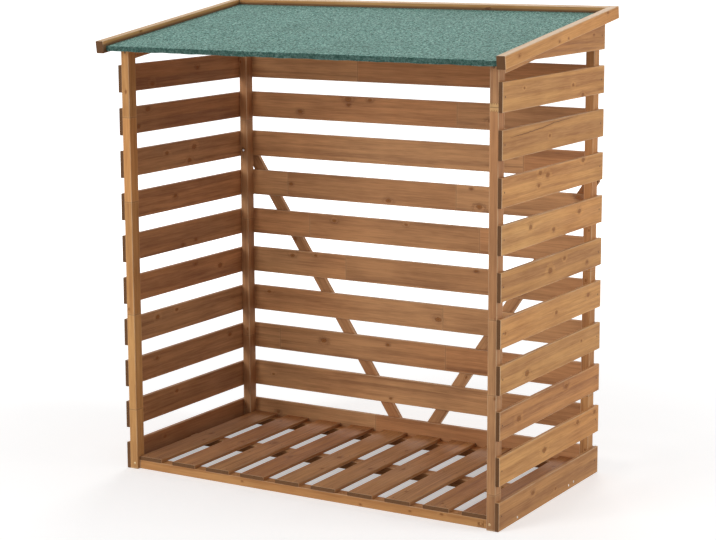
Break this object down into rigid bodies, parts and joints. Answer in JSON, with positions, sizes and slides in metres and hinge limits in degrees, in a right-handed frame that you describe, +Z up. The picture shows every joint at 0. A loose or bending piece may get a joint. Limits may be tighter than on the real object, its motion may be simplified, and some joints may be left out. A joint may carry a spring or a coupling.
{
  "type": "log store",
  "caption": "Open-fronted timber log store with slatted side and back walls, a slatted floor and a lean-to felt roof edged with barge boards.",
  "frame": {"origin": "on the ground under the middle of the roof's outline", "axes": "+Z up, +Y from the open front to the back wall, +X to the right of someone facing the open front"},
  "size_m": [1.478, 0.8282, 1.5523],
  "materials": {
    "post_timber": "satin stain",
    "wall_board_timber": "satin stain",
    "brace_timber": "satin stain",
    "floor_timber": "satin stain",
    "roof_timber": "satin stain",
    "trim_timber": "satin stain",
    "roofing_felt": "mineral grit"
  },
  "bodies": {
    "root": {"front_left_post": "post_timber", "back_left_post": "post_timber", "front_right_post": "post_timber", "back_right_post": "post_timber", "left_side_board_01": "wall_board_timber", "left_side_board_02": "wall_board_timber", "left_side_board_03": "wall_board_timber", "left_side_board_04": "wall_board_timber", "left_side_board_05": "wall_board_timber", "left_side_board_06": "wall_board_timber", "left_side_board_07": "wall_board_timber", "left_side_board_08": "wall_board_timber", "left_side_board_09": "wall_board_timber", "left_side_board_10": "wall_board_timber", "left_gable_board": "wall_board_timber", "right_side_board_01": "wall_board_timber", "right_side_board_02": "wall_board_timber", "right_side_board_03": "wall_board_timber", "right_side_board_04": "wall_board_timber", "right_side_board_05": "wall_board_timber", "right_side_board_06": "wall_board_timber", "right_side_board_07": "wall_board_timber", "right_side_board_08": "wall_board_timber", "right_side_board_09": "wall_board_timber", "right_side_board_10": "wall_board_timber", "right_gable_board": "wall_board_timber", "back_boards": "wall_board_timber", "back_left_brace": "brace_timber", "back_right_brace": "brace_timber", "front_floor_rail": "floor_timber", "middle_floor_rail": "floor_timber", "back_floor_rail": "floor_timber", "floor_slats": "floor_timber", "left_rafter": "roof_timber", "right_rafter": "roof_timber", "roof_deck": "roof_timber", "roof_felt": "roofing_felt", "left_barge_board": "trim_timber", "right_barge_board": "trim_timber", "back_barge_board": "trim_timber"}
  },
  "joints": []
}
